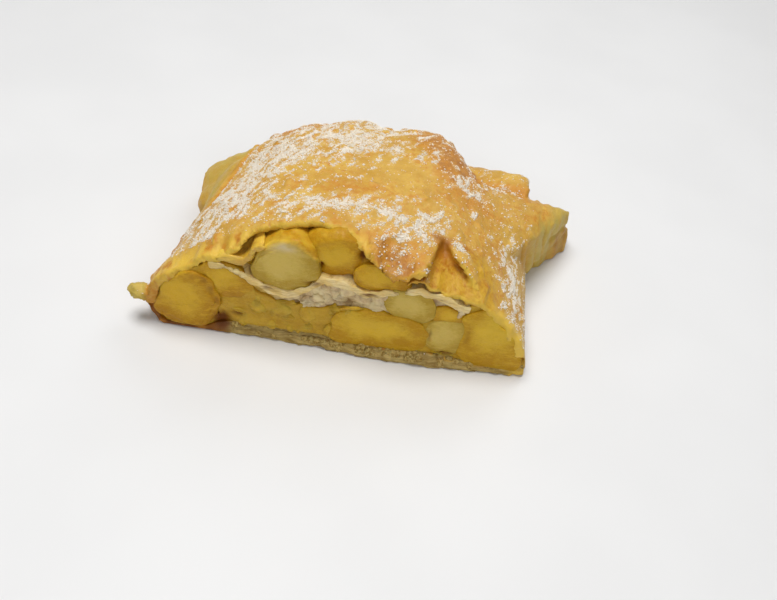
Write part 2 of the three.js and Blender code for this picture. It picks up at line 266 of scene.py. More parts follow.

# Pockets in the cut, dented and painted dark: caramel, and painted shade in the dents. Centre x and z, half
# sizes, depth.
JUICE_AND_SHADE_POCKETS = [
    (-37.8, 4.2, 3.8, 5.6, 1.7),
    (-32.2, 9.2, 2.6, 1.1, 1.3),
    (-42.6, 22.8, 1.3, 1.8, 0.6),
    (-40.6, 18.6, 1.3, 2.2, 0.6),
    (-38.6, 14.4, 1.1, 2.2, 0.5),
    (-6.5, 33.5, 1.3, 1.7, 1.6),
    (6.0, 39.0, 1.4, 2.2, 1.8),
    (9.5, 25.2, 3.2, 1.2, 1.2),
    (31.5, 27.6, 2.2, 0.9, 1.2),
    (36.0, 4.9, 3.4, 0.9, 1.3),
    (-22, 22.6, 3.4, 1.0, 0.8),
    (-8.0, 27.0, 3.6, 1.2, 0.9),
    (30.2, 12.0, 0.8, 3.0, 0.6),
    (42.0, 14.0, 1.0, 4.2, 0.4),
]

# Small clumps: spread and limits of their sizes, how uneven and how stretched they are, and how far
# they lie from the point that they were strewn on.
CLUMP_SPREAD = 0.4
CLUMP_LIMITS = (0.45, 2.0)
CLUMP_BULGE = 0.45
CLUMP_STRETCH = (0.7, 1.3)
CLUMP_JITTER = 0.35

# Lamps: name, place and size in metres, power in watts.
LIGHTS = (
    ("key", (-0.12, 0.0, 0.8), 0.45, 5.0),
    ("front", (0.2, -0.75, 0.5), 0.6, 1.75),
    ("back", (0.25, 0.6, 0.6), 0.5, 1.4),
)

# Even light from all sides.
SKY_COLOUR = (1.0, 0.99, 0.975, 1)
SKY_STRENGTH = 0.2

# The camera stands and aims at places in the cut's millimetres. Its lens is in mm, on a 36 mm sensor.
CAMERA_PLACE = (17.47, -198.21, 211.22)
CAMERA_AIM = (15.48, 5.8, 20.0)
CAMERA_ROLL = math.radians(8.0)
CAMERA_LENS = 40.55


# ---------------------------------------------------------------- shapes


def bell(value, centre, width):
    """1 at the centre, falling to nothing beyond the width."""
    return np.exp(-(((value - centre) / width) ** 2))


def step(value, start, end):
    """Rises smoothly from 0 at start to 1 at end; start may be the larger."""
    share = np.clip((value - start) / (end - start), 0.0, 1.0)
    return share * share * (3.0 - 2.0 * share)


_draw = np.random.default_rng(20)
SHUFFLE = _draw.permutation(256)
LEANS = _draw.normal(size=(256, 3))
LEANS /= np.linalg.norm(LEANS, axis=1)[:, None]


def shuffled(cell):
    """A repeatable number from 0 to 255 for each cell of a grid."""
    first = SHUFFLE[cell[:, 0] & 255]
    second = SHUFFLE[(first + cell[:, 1]) & 255]
    return SHUFFLE[(second + cell[:, 2]) & 255]


def wander(points, size, seed=0, octaves=1):
    """Smooth noise from about -1 to 1, with features of that size in mm."""
    place = points / np.asarray(size, float) + 31.7 * seed
    total = np.zeros(len(points))
    weight = 1.0
    whole = 0.0
    for _ in range(octaves):
        cell = np.floor(place).astype(int)
        inside = place - cell
        fade = inside**3 * (inside * (inside * 6 - 15) + 10)
        for corner in itertools.product((0, 1), repeat=3):
            corner = np.array(corner)
            lean = (LEANS[shuffled(cell + corner)] * (inside - corner)).sum(1)
            total += weight * lean * np.where(corner, fade, 1 - fade).prod(1)
        whole += weight
        weight *= 0.5
        place = place * 2.03 + 5.1
    return 1.7 * total / whole


def lumps(points, size, seed=0):
    """Distance from each point to the nearest seam between packed lumps, as a share of their size."""
    place = points / np.asarray(size, float) + 17.3 * seed
    cell = np.floor(place).astype(int)
    nearest = np.full((2, len(points)), 9.0)
    for corner in itertools.product((-1, 0, 1), repeat=3):
        there = cell + np.array(corner)
        centre = there + 0.5 + 0.42 * LEANS[shuffled(there)]
        away = np.linalg.norm(place - centre, axis=1)
        nearer = np.minimum(nearest[0], away)
        nearest[1] = np.minimum(nearest[1], np.maximum(nearest[0], away))
        nearest[0] = nearer
    return nearest[1] - nearest[0]


def to_cut(points):
    """Frame metres to the cut's millimetres."""
    return (points - np.array(CUT_ORIGIN)) / MM


def from_cut(points):
    """The cut's millimetres to frame metres."""
    return np.asarray(points) * MM + np.array(CUT_ORIGIN)


def points_of(mesh):
    """A mesh's points in the cut's millimetres."""
    flat = np.empty(len(mesh.vertices) * 3, np.float32)
    mesh.vertices.foreach_get("co", flat)
    return to_cut(flat.reshape(-1, 3).astype(float))


def set_points(mesh, points):
    """Moves a mesh's points to places in the cut's millimetres."""
    mesh.vertices.foreach_set("co", from_cut(points).astype(np.float32).ravel())
    mesh.update()


def normals_of(mesh):
    """The directions in which a mesh's points face."""
    flat = np.empty(len(mesh.vertices) * 3, np.float32)
    mesh.vertex_normals.foreach_get("vector", flat)
    return flat.reshape(-1, 3).astype(float)


def relax(mesh, passes, held=None):
    """Smooths a mesh; held is the share of its place that each point keeps."""
    ends = np.empty(len(mesh.edges) * 2, np.int32)
    mesh.edges.foreach_get("vertices", ends)
    a, b = ends.reshape(-1, 2).T
    points = points_of(mesh)
    count = len(points)
    around = np.maximum(np.bincount(a, minlength=count) + np.bincount(b, minlength=count), 1)
    free = 0.6 if held is None else 0.6 * (1 - held)[:, None]
    for _ in range(passes):
        mean = np.empty_like(points)
        for axis in range(3):
            along = points[:, axis]
            summed = np.bincount(a, along[b], count) + np.bincount(b, along[a], count)
            mean[:, axis] = summed / around
        points += free * (mean - points)
    set_points(mesh, points)


def paint(mesh, name, values):
    """Keeps a value for each point, for the materials to read."""
    layer = mesh.attributes.get(name) or mesh.attributes.new(name, "FLOAT", "POINT")
    layer.data.foreach_set("value", np.clip(values, 0.0, 1.0).astype(np.float32))


def painted(mesh, name):
    """The values that paint kept."""
    values = np.empty(len(mesh.vertices), np.float32)
    mesh.attributes[name].data.foreach_get("value", values)
    return values


def applied(piece):
    """Applies all modifiers of a piece."""
    graph = bpy.context.evaluated_depsgraph_get()
    mesh = bpy.data.meshes.new_from_object(piece.evaluated_get(graph))
    piece.modifiers.clear()
    old = piece.data
    piece.data = mesh
    bpy.data.meshes.remove(old)
    mesh.name = piece.name


def new_piece(name, data):
    """An object with its mesh, lamp or camera, put in the scene."""
    piece = bpy.data.objects.new(name, data)
    bpy.context.scene.collection.objects.link(piece)
    return piece


def kneaded(name, node, cell, smoothing):
    """A finely and evenly meshed copy of a CAD node, with softened edges."""
    form = bmesh.new()
    form.from_mesh(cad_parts[node].data)
    bmesh.ops.remove_doubles(form, verts=form.verts, dist=1e-6)
    mesh = bpy.data.meshes.new(name)
    form.to_mesh(mesh)
    form.free()
    piece = new_piece(name, mesh)
    remesh = piece.modifiers.new("Remesh", "REMESH")
    remesh.mode = "VOXEL"
    remesh.voxel_size = cell * MM
    applied(piece)
    relax(piece.data, smoothing)
    return piece


def thinned(piece, weights, ratio):
    """Leaves fewer faces where the weights are high."""
    group = piece.vertex_groups.new(name="thin")
    levels = np.round(np.clip(weights, 0, 1) * 4).astype(int)
    for level in range(1, 5):
        group.add(np.nonzero(levels == level)[0].tolist(), level / 4, "REPLACE")
    fewer = piece.modifiers.new("Fewer", "DECIMATE")
    fewer.ratio = ratio
    fewer.vertex_group = group.name
    fewer.vertex_group_factor = 4.0
    applied(piece)
    piece.vertex_groups.clear()


def smooth_shaded(piece):
    flags = np.ones(len(piece.data.polygons), bool)
    piece.data.polygons.foreach_set("use_smooth", flags)


def surroundings():
    """All the solids of the frame, for casting rays."""
    points = []
    faces = []
    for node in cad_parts.values():
        start = len(points)
        points.extend(vertex.co.copy() for vertex in node.data.vertices)
        faces.extend([start + k for k in face.vertices] for face in node.data.polygons)
    return BVHTree.FromPolygons(points, faces)


def facing_out(points, normals):
    """1 for points whose normal meets nothing nearby, 0 for those that look into the food."""
    tree = surroundings()
    start = from_cut(points + 0.45 * normals)
    seen = np.ones(len(points))
    for k in range(len(points)):
        if tree.ray_cast(Vector(start[k]), Vector(normals[k]), VIEW_REACH * MM)[0] is not None:
            seen[k] = 0.0
    return seen


def patches(points, table):
    """Sum of soft patches over x and y."""
    total = np.zeros(len(points))
    for cx, cy, rx, ry, amount in table:
        total += amount * bell(points[:, 0], cx, rx) * bell(points[:, 1], cy, ry)
    return total


def pockets(points, normals):
    """How deep the pockets reach into the cut at each point, and how dark they are painted: caramel, and
    painted shade in the dents.
    """
    depth = np.zeros(len(points))
    juice = np.zeros(len(points))
    ragged = points + 0.5 * np.stack([wander(points, 2.2, seed) for seed in (41, 42, 43)], axis=1)
    low = step(points[:, 2], 12, 9)
    sideways = 0.7 * low * np.hypot(normals[:, 0], normals[:, 2])
    at_cut = step(points[:, 1], 12, 7) * step(sideways - normals[:, 1], 0.1, 0.5)
    for cx, cz, rx, rz, deep in JUICE_AND_SHADE_POCKETS:
        share = bell(ragged[:, 0], cx, rx) * bell(ragged[:, 2], cz, rz)
        depth = np.maximum(depth, deep * share)
        juice = np.maximum(juice, min(1, deep / 1.5) * step(share, 0.2, 0.9))
    return depth * at_cut, juice * at_cut


# ---------------------------------------------------------------- materials


class Surface:
    """The nodes of a material or group: noise, mixes and masks over a surface, with sizes in mm."""

    def __init__(self, tree):
        self.tree = tree
        self.spots = {}

    def feed(self, socket, value):
        """Links a socket or sets its value.

        A tuple that starts with another socket is a value and its range, as ranged takes them. A
        colour of three parts gets its alpha.
        """
        if isinstance(value, tuple) and isinstance(value[0], bpy.types.NodeSocket):
            value = self.ranged(*value)
        if isinstance(value, bpy.types.NodeSocket):
            self.tree.links.new(value, socket)
        elif socket.type == "RGBA" and len(value) == 3:
            socket.default_value = (*value, 1)
        else:
            socket.default_value = value

    def add(self, kind, inputs=None, **settings):
        """A node with its settings, and values or links on its inputs."""
        node = self.tree.nodes.new(kind)
        for name, value in settings.items():
            setattr(node, name, value)
        for name, value in (inputs or {}).items():
            self.feed(node.inputs[name], value)
        return node

    def mixed(self, share, first, second):
        """Two colours mixed."""
        return self.add("ShaderNodeMix", {0: share, 6: first, 7: second}, data_type="RGBA").outputs[2]

    def blended(self, share, first, second):
        """Two values mixed."""
        return self.add("ShaderNodeMix", {0: share, 2: first, 3: second}).outputs[0]

    def ranged(self, value, low, high, start=0.0, end=1.0):
        """A value taken smoothly from one range to another."""
        inputs = {"Value": value, "From Min": low, "From Max": high, "To Min": start, "To Max": end}
        return self.add("ShaderNodeMapRange", inputs, interpolation_type="SMOOTHSTEP").outputs["Result"]

    def maths(self, operation, first, second):
        """Two values worked out into one."""
        return self.add("ShaderNodeMath", {0: first, 1: second}, operation=operation).outputs[0]

    def summed(self, *parts):
        """The sum of some values, each times its weight."""
        total = None
        for value, weight in parts:
            weighed = value if weight == 1 else self.maths("MULTIPLY", value, weight)
            total = weighed if total is None else self.maths("ADD", total, weighed)
        return total

    def spot(self, stretch):
        """The point on the surface in mm, squeezed by a stretch along each axis."""
        if stretch not in self.spots:
            place = self.add("ShaderNodeTexCoord").outputs["Object"]
            scale = [1 / (MM * part) for part in stretch]
            mapping = self.add("ShaderNodeMapping", {"Vector": place, "Scale": scale})
            self.spots[stretch] = mapping.outputs["Vector"]
        return self.spots[stretch]

    def mottle(self, size, detail=3.0, roughness=0.6, distortion=0.0, stretch=(1, 1, 1)):
        """Noise with features of that size."""
        inputs = {
            "Vector": self.spot(stretch),
            "Scale": 1 / size,
            "Detail": detail,
            "Roughness": roughness,
            "Distortion": distortion,
        }
        return self.add("ShaderNodeTexNoise", inputs).outputs["Fac"]

    def held(self, name):
        """The value that paint kept for each point under this name."""
        return self.add("ShaderNodeAttribute", attribute_name=name).outputs["Fac"]

    def covered(self, colour, covers):
        """A colour under others, each where the points hold its mask."""
        for name, cover in covers.items():
            colour = self.mixed(self.held(name), colour, cover)
        return colour


def new_group(name, inputs, outputs):
    """An empty shader node group: its nodes, its inputs by name, and what takes its outputs."""
    group = bpy.data.node_groups.new(name, "ShaderNodeTree")
    for way, labels in (("INPUT", inputs), ("OUTPUT", outputs)):
        for label in labels:
            kind = "NodeSocketColor" if label.endswith("olour") else "NodeSocketFloat"
            group.interface.new_socket(label, in_out=way, socket_type=kind)
    surface = Surface(group)
    given = surface.add("NodeGroupInput").outputs
    return surface, given, surface.add("NodeGroupOutput").inputs


def sugar_dust_group():
    """Powder that thickens from single clumps to a white cover as its amount grows."""
    name = "Sugar dust"
    if name in bpy.data.node_groups:
        return bpy.data.node_groups[name]
    group, given, result = new_group(name, ("Cover",), ("Mask",))
    clumps = group.mottle(0.8, 2.0, 0.7)
    drifts = group.mottle(2.4, 2.0, 0.6, 0.4)
    powder = group.summed((clumps, 0.65), (drifts, 0.35))
    level = group.ranged(given["Cover"], 0.0, 1.0, 0.64, 0.45)
    mask = group.ranged(group.maths("SUBTRACT", powder, level), -0.02, 0.07, 0.0, 0.8)
    begun = group.ranged(given["Cover"], 0.0, 0.1)
    group.feed(result["Mask"], group.maths("MULTIPLY", mask, begun))
    return group.tree


FLESH_MASKS = ("Juice", "Crease", "Bloom", "Core")


def moist_flesh_group():
    """Cooked fruit flesh: soft mottling from a light to a deep colour, with fine fibres, and painted light
    and shade.
    """
    name = "Moist flesh"
    if name in bpy.data.node_groups:
        return bpy.data.node_groups[name]
    colours = [f"{part} colour" for part in ("Light", "Deep", "Juice", "Crease", "Bloom")]
    outputs = ("Colour", "Roughness", "Height")
    group, given, result = new_group(name, [*colours, *FLESH_MASKS], outputs)
    broad = group.mottle(7.0, 3.0, 0.55, 0.6)
    fibres = group.mottle(0.9, 4.0, 0.65, 1.2, stretch=(1.5, 1.0, 0.8))
    specks = group.mottle(0.45, 2.0, 0.6)
    strands = group.mottle(1.3, 3.0, 0.6, 0.8, stretch=(2.6, 1.6, 0.9))
    cloud = group.ranged(broad, 0.32, 0.68, 0.5, 0.9)
    # Where the lightness mask is high the flesh is lighter: painted light and shade on the chunks, random
    # tone on the shreds.
    depth = group.summed((cloud, 1), (given["Core"], -1), (fibres, 1.1))
    colour = group.mixed((depth, 0.2, 1.45), given["Light colour"], given["Deep colour"])
    colour = group.mixed((strands, 0.5, 0.72, 0.0, 0.55), colour, given["Light colour"])
    # Painted shade: the rim mask, with random darker patches, pulls the flesh towards a deeper colour.
    edge = group.maths("MULTIPLY", given["Crease"], (broad, 0.3, 0.6, 0.175, 0.315))
    colour = group.mixed(edge, colour, given["Crease colour"])
    # Painted highlight mixed into the flesh.
    colour = group.mixed(given["Bloom"], colour, given["Bloom colour"])
    colour = group.mixed(given["Juice"], colour, given["Juice colour"])
    group.feed(result["Colour"], colour)
    group.feed(result["Roughness"], (specks, 0.3, 0.7, 0.26, 0.5))
    group.feed(result["Height"], group.summed((fibres, 0.7), (specks, 0.3)))
    return group.tree


def translucent(weight, radius, reach):
    """Lets light spread inside, by the given share and reach in mm."""
    return {"Subsurface Weight": weight, "Subsurface Radius": radius, "Subsurface Scale": reach * MM}


def coated(weight, roughness):
    """A thin wet or greasy film."""
    return {"Coat Weight": weight, "Coat Roughness": roughness}


def new_material(name):
    """A material and its nodes."""
    material = bpy.data.materials.new(name)
    material.use_nodes = True
    return material, Surface(material.node_tree)


def finish_material(surface, colour, roughness, relief, strength, depth, constants=None):
    """Feeds the shader with a colour, a roughness and a relief of some depth in mm."""
    shader = next(node for node in surface.tree.nodes if node.type == "BSDF_PRINCIPLED")
    bump = surface.add("ShaderNodeBump", {"Height": relief, "Strength": strength, "Distance": depth * MM})
    inputs = {"Base Color": colour, "Roughness": roughness, "Normal": bump.outputs["Normal"]}
    for socket, value in (inputs | (constants or {})).items():
        surface.feed(shader.inputs[socket], value)


def crust_material(looks):
    """Baked dough: gold with browner patches, pale where it is thick or folded, dusted with sugar."""
    material, surface = new_material("Baked crust")
    broad = surface.mottle(14.0, roughness=0.5)
    patchy = surface.mottle(5.0, 4.0, distortion=0.4)
    speckle = surface.mottle(1.7, roughness=0.65)
    fine = surface.mottle(0.9, 4.0, 0.65, 0.5, stretch=(1.0, 2.0, 1.0))
    streaks = surface.mottle(1.0, 4.0, 0.65, 0.8, stretch=(7.0, 5.0, 0.8))
    cloud = surface.summed((broad, 0.55), (patchy, 0.45))
    baked = surface.summed((patchy, 1.5), (speckle, 1.6), (surface.held("brown"), 1))
    crumb = surface.summed((streaks, 0.7), (patchy, 0.3))
    colour = surface.mixed((cloud, 0.36, 0.64), looks.gold, looks.light_gold)
    colour = surface.mixed((baked, 1.62, 2.3), colour, looks.brown)
    colour = surface.mixed((baked, 2.25, 2.85), colour, looks.deep_brown)
    layers = surface.mixed((crumb, 0.36, 0.64), looks.layer_light, looks.layer_dark)
    inside = surface.mixed((baked, 1.35, 2.2), looks.inner_light, looks.inner_dark)
    covers = {
        "pale": looks.pale_dough,
        "ear": looks.ear_dough,
        "layered": layers,
        "inner": inside,
        "juice": looks.juice,
    }
    colour = surface.covered(colour, covers)
    sugar = surface.held("sugar")
    dust = surface.add("ShaderNodeGroup", {"Cover": sugar}, node_tree=sugar_dust_group()).outputs["Mask"]
    colour = surface.mixed((sugar, 0.0, 0.5, 0.0, 0.28), colour, looks.haze)
    colour = surface.mixed(dust, colour, looks.sugar)
    roughness = surface.blended(dust, (fine, 0.3, 0.7, 0.34, 0.52), 0.92)
    relief = surface.summed((fine, 0.5), (speckle, 0.6), (dust, 0.5))
    constants = {"Specular IOR Level": 0.3, **translucent(0.12, (1.0, 0.55, 0.2), 1.4)}
    finish_material(surface, colour, roughness, relief, strength=0.8, depth=0.7, constants=constants)
    return material


def flesh_material(name, kind, looks, draped=False):
    """Cooked apple, or the soft filling round it. The kind names its light and its deep colour."""
    material, surface = new_material(name)
    deep = getattr(looks, f"{kind}_deep")
    inputs = {
        "Light colour": getattr(looks, f"{kind}_light"),
        "Deep colour": deep,
        "Juice colour": looks.juice,
        "Crease colour": [0.85 * part for part in deep],
        "Bloom colour": looks.bloom,
    }
    inputs |= {mask: surface.held(mask.lower()) for mask in FLESH_MASKS}
    flesh = surface.add("ShaderNodeGroup", inputs, node_tree=moist_flesh_group()).outputs
    colour = flesh["Colour"]
    if draped:
        cloud = surface.ranged(surface.mottle(4.0), 0.35, 0.65)
        dough = surface.mixed(cloud, looks.drape_light, looks.drape_deep)
        colour = surface.covered(colour, {"drape": dough, "drape_edge": looks.pale_dough})
    constants = {"Specular IOR Level": 0.15, **coated(0.06, 0.12), **translucent(0.35, (1.0, 0.6, 0.1), 2.2)}
    roughness, relief = flesh["Roughness"], flesh["Height"]
    finish_material(surface, colour, roughness, relief, strength=0.5, depth=0.45, constants=constants)
    return material


def cream_material(looks):
    """Curdled cream with a faint plum tint from the fruit's syrup."""
    material, surface = new_material("Cream")
    tint = surface.mottle(4.5, distortion=0.5)
    curds = surface.mottle(0.9)
    colour = surface.mixed((tint, 0.38, 0.66), looks.cream, looks.cream_plum)
    colour = surface.mixed((curds, 0.45, 0.8, 0.0, 0.6), colour, looks.cream_white)
    # The hollows between the curds get painted shade.
    covers = {"hollow": looks.cream_hollow_shade, "stain": looks.mush_light, "juice": looks.juice}
    colour = surface.covered(colour, covers)
    roughness = (curds, 0.3, 0.7, 0.3, 0.55)
    constants = coated(0.2, 0.3) | translucent(0.3, (1.0, 0.8, 0.6), 1.5)
    finish_material(surface, colour, roughness, curds, strength=0.7, depth=0.4, constants=constants)
    return material


def dough_sheet_material(name, light, warm, looks):
    """Unbaked-looking inner dough: pale, slightly translucent, with faint layers."""
    material, surface = new_material(name)
    tint = surface.mottle(5.0, 3.0, 0.55, 0.4)
    layers = surface.mottle(1.0, distortion=0.5, stretch=(4.0, 4.0, 0.45))
    colour = surface.mixed((tint, 0.35, 0.68), light, warm)
    colour = surface.mixed((layers, 0.44, 0.72, 0.0, 0.6), colour, looks.dough_deep)
    colour = surface.covered(colour, {"juice": looks.juice})
    roughness = (layers, 0.3, 0.7, 0.34, 0.5)
    constants = coated(0.15, 0.3) | translucent(0.3, (1.0, 0.75, 0.4), 1.5)
    finish_material(surface, colour, roughness, layers, strength=0.5, depth=0.3, constants=constants)
    return material


def crumb_material(looks):
    """Porous crumb of the crust's thick underside."""
    material, surface = new_material("Pastry crumb")
    pores = surface.mottle(0.8, roughness=0.65)
    colour = surface.mixed((pores, 0.35, 0.65), looks.layer_light, looks.layer_dark)
    roughness = (pores, 0.3, 0.7, 0.5, 0.7)
    constants = {"Specular IOR Level": 0.25, **translucent(0.2, (1.0, 0.6, 0.25), 1.2)}
    finish_material(surface, colour, roughness, pores, strength=0.7, depth=0.4, constants=constants)
    return material


def sugar_material(looks):
    """Icing sugar grains."""
    material, surface = new_material("Icing sugar")
    clumps = surface.mottle(0.3, 2.0)
    colour = surface.mixed((clumps, 0.35, 0.65), looks.sugar, looks.sugar_shade)
    roughness = (clumps, 0.3, 0.7, 0.75, 0.95)
    constants = translucent(0.2, (1.0, 1.0, 1.0), 0.4)
    finish_material(surface, colour, roughness, clumps, strength=0.5, depth=0.1, constants=constants)
    return material


def floor_material(looks):
    """Matt pale paper, very faintly mottled."""
    material, surface = new_material("Pale floor")
    cloud = surface.mottle(60.0, 2.0, 0.5)
    fine = surface.mottle(0.8, 2.0, 0.5)
    shade = [0.97 * part for part in looks.floor]
    colour = surface.mixed((cloud, 0.3, 0.7), looks.floor, shade)
    finish_material(surface, colour, (fine, 0.3, 0.7, 0.55, 0.65), fine, strength=0.1, depth=0.05)
    return material


# ---------------------------------------------------------------- sizes and colours


def colour_property(name, description, default):
    return bpy.props.FloatVectorProperty(
        name=name, description=description, default=default, subtype="COLOR", size=3, min=0.0, max=1.0
    )


def length_property(name, description, default):
    """A small length, in millimetres."""
    return bpy.props.FloatProperty(name=name, description=description, default=default, min=0.0)


class StrudelSizes(bpy.types.PropertyGroup):
    """Fineness and relief of the surfaces, in millimetres."""

    crust_cell: length_property("Crust mesh", "Edge length of the crust's mesh, in mm", 0.72)
    filling_cell: length_property("Filling mesh", "Edge length of the filling's mesh, in mm", 0.6)
    wrinkle_height: length_property("Wrinkles", "Height of the crust's wrinkles, in mm", 0.5)
    blister_height: length_property("Blisters", "Height of the crust's blisters, in mm", 0.9)
    lip_thinning: length_property("Lip thinning", "How much thinner the lip is than the rest, in mm", 0.6)
    flake_depth: length_property("Flaky layers", "Depth of the layers at cut edges, in mm", 0.45)
    fruit_relief: length_property("Fruit relief", "Unevenness of the cut fruit, in mm", 0.4)
    grain_radius: length_property("Sugar grain", "Radius of a typical clump of sugar, in mm", 0.21)
    grain_count: bpy.props.IntProperty(
        name="Sugar grains", description="How many clumps of sugar are strewn", default=24500, min=0
    )
    floor_size: bpy.props.FloatProperty(
        name="Floor", description="Width of the floor", default=3.0, unit="LENGTH"
    )


class StrudelColours(bpy.types.PropertyGroup):
    """Base colours of the materials."""

    gold: colour_property("Gold", "Baked crust", (0.54, 0.282, 0.03))
    light_gold: colour_property("Light gold", "Paler areas of the crust", (0.7, 0.437, 0.074))
    brown: colour_property("Brown", "Browned patches", (0.57, 0.24, 0.018))
    deep_brown: colour_property("Deep brown", "Darkest patches", (0.42, 0.15, 0.014))
    pale_dough: colour_property("Pale dough", "Lip of the crust", (0.8, 0.535, 0.065))
    ear_dough: colour_property("Ear dough", "Folded ears", (0.56, 0.405, 0.075))
    # The cut base's layer colours are darkened to stand in for the shade on it: painted shade.
    layer_light: colour_property("Light layers", "Cut edge of the crust, light", (0.56, 0.41, 0.135))
    layer_dark: colour_property("Dark layers", "Cut edge of the crust, dark", (0.25, 0.145, 0.024))
    inner_light: colour_property("Inside, light", "Crust's inner side", (0.63, 0.365, 0.03))
    inner_dark: colour_property("Inside, dark", "Crust's inner side", (0.46, 0.175, 0.008))
    haze: colour_property("Haze", "Crust under the finest sugar", (0.85, 0.64, 0.27))
    sugar: colour_property("Sugar", "Icing sugar", (0.95, 0.885, 0.785))
    sugar_shade: colour_property("Sugar shade", "Icing sugar between the grains", (0.85, 0.76, 0.62))
    # Caramel colour, also used for painted shade in the pockets and the hollow.
    juice: colour_property("Juice", "Caramelised juice", (0.17, 0.05, 0.005))
    apple_light: colour_property("Apple, light", "Cooked apple", (0.72, 0.47, 0.034))
    apple_deep: colour_property("Apple, deep", "Cooked apple", (0.49, 0.255, 0.005))
    pale_apple_light: colour_property("Pale apple, light", "Less cooked apple", (0.67, 0.49, 0.11))
    pale_apple_deep: colour_property("Pale apple, deep", "Less cooked apple", (0.46, 0.295, 0.028))
    gold_apple_light: colour_property("Golden apple, light", "Glazed apple", (0.7, 0.43, 0.026))
    gold_apple_deep: colour_property("Golden apple, deep", "Glazed apple", (0.45, 0.215, 0.004))
    # Painted highlight: a pale band on the draped chunk's flesh.
    bloom: colour_property("Bloom", "Paler flesh under the draped dough", (0.72, 0.62, 0.42))
    mush_light: colour_property("Filling, light", "Soft filling", (0.62, 0.39, 0.036))
    mush_deep: colour_property("Filling, deep", "Soft filling", (0.42, 0.215, 0.009))
    cream: colour_property("Cream", "Cream layer", (0.78, 0.62, 0.32))
    cream_plum: colour_property("Cream, tinted", "Cream tinted by juice", (0.56, 0.38, 0.19))
    # Painted shade for the hollows between the curds.
    cream_hollow_shade: colour_property("Cream, hollows", "Cream between the curds", (0.30, 0.17, 0.06))
    cream_white: colour_property("Cream, white", "Curds", (0.86, 0.75, 0.48))
    drape_light: colour_property("Draped dough, light", "Dough over the pale chunk", (0.60, 0.36, 0.026))
    drape_deep: colour_property("Draped dough, deep", "Dough over the pale chunk", (0.50, 0.24, 0.009))
    dough_light: colour_property("Dough, light", "Inner dough sheet", (0.88, 0.7, 0.34))
    dough_warm: colour_property("Dough, warm", "Inner dough sheet", (0.8, 0.56, 0.17))
    dough_deep: colour_property("Dough, deep", "Layers in the dough sheet", (0.45, 0.27, 0.05))
    floor: colour_property("Floor", "Floor", (0.8, 0.8, 0.8))


# ---------------------------------------------------------------- crust


def zone(points, name):
    """1 in one of the crust's zones and 0 outside, with soft sides."""
    share = 1.0
    for axis, start, full in ZONES[name]:
        share = share * step(points[:, "xyz".index(axis)], start, full)
    return share


def ear_seam(points):
    """How far a point lies, along x, to the right of the seam between the top and the left ear."""
    return points[:, 0] + 49 - 0.24 * (points[:, 1] - 33)


def pleats(points):
    """0 in the grooves and 1 on the ridges of the right ear's pleats."""
    x, _, z = points.T
    phase = (x + 0.12 * z + 0.7 * wander(points, 8, 51)) / PLEAT_WIDTH
    return np.abs(np.sin(math.pi * phase)) ** 0.6


def thin_hidden_crust(piece):
    """Leaves fewer faces on the crust's inner side, away from the cut, and on its underside."""
    points = points_of(piece.data)
    outside = facing_out(points, normals_of(piece.data))
    hidden = (1 - outside) * step(points[:, 1], *HIDDEN_CRUST)
    thinned(piece, np.maximum(hidden, zone(points, "underside")), CRUST_FACES_LEFT)


def soften_folds(mesh):
    """Smooths the folds beside the lip's notch and the root of the right ear."""
    points = points_of(mesh)
    relax(mesh, 4, 1 - zone(points, "notch"))
    relax(mesh, 30, 1 - zone(points, "ear_root"))


def furrows(points, outside):
    """Depth of the furrows round both ears."""
    x, y, z = points.T
    seam = ear_seam(points)
    beside_ear = 1.5 * bell(seam, 0, 1.1) * zone(points, "left_seam")
    across_tip = bell(z, 13, 0.9) * step(x, 68, 72)
    on_ear = 1.2 * bell(seam + 7.5 - 0.35 * (z - 15), 0, 1.0) * step(seam, -1, -4) * step(y, 29, 35)
    return (beside_ear + across_tip + on_ear) * outside


def crust_relief(points, normals, outside, sizes):
    """How far wrinkles, blisters, layers and folds move the crust's points along their normals."""
    x, y, z = points.T
    cut = step(-normals[:, 1], 0.45, 0.75) * step(y, 12, 8)
    top = outside * step(normals[:, 2], -0.1, 0.5) * (1 - cut)
    wrinkles = 0.55 * wander(points, (5, 12, 6), 1, 2) + 0.45 * wander(points, (2.2, 4.0, 2.4), 2, 2)
    ridges = 0.4 - 1.6 * np.abs(wander(points, (4.0, 9, 5), 16, 2))
    blisters = step(wander(points, 6.0, 3), 0.35, 0.8)
    layers = np.sin(2 * math.pi * (z / LAYER_HEIGHT + 0.55 * wander(points, (9, 9, 6), 4)))
    ragged = 0.4 * layers + 0.8 * wander(points, (2.4, 2.4, 1.3), 5, 2)
    move = sizes.wrinkle_height * (wrinkles + 0.3 * ridges * top) * (0.15 + 0.85 * outside)
    move -= sizes.lip_thinning * (1 - outside) * zone(points, "inside_lip")
    move += sizes.blister_height * blisters * top
    move += sizes.flake_depth * ragged * cut * (1 - 0.85 * step(x, 45, 52))
    move += 1.2 * step(x, -60.5, -63) * wander(points, (2.6, 2.6, 1.5), 10, 2)
    ear_side = zone(points, "pleated_side") * step(normals[:, 2], 0.5, 0.1)
    move += 1.1 * (pleats(points) - 0.75) * ear_side
    return (move - furrows(points, outside)) * step(z, 0.0, 1.2)


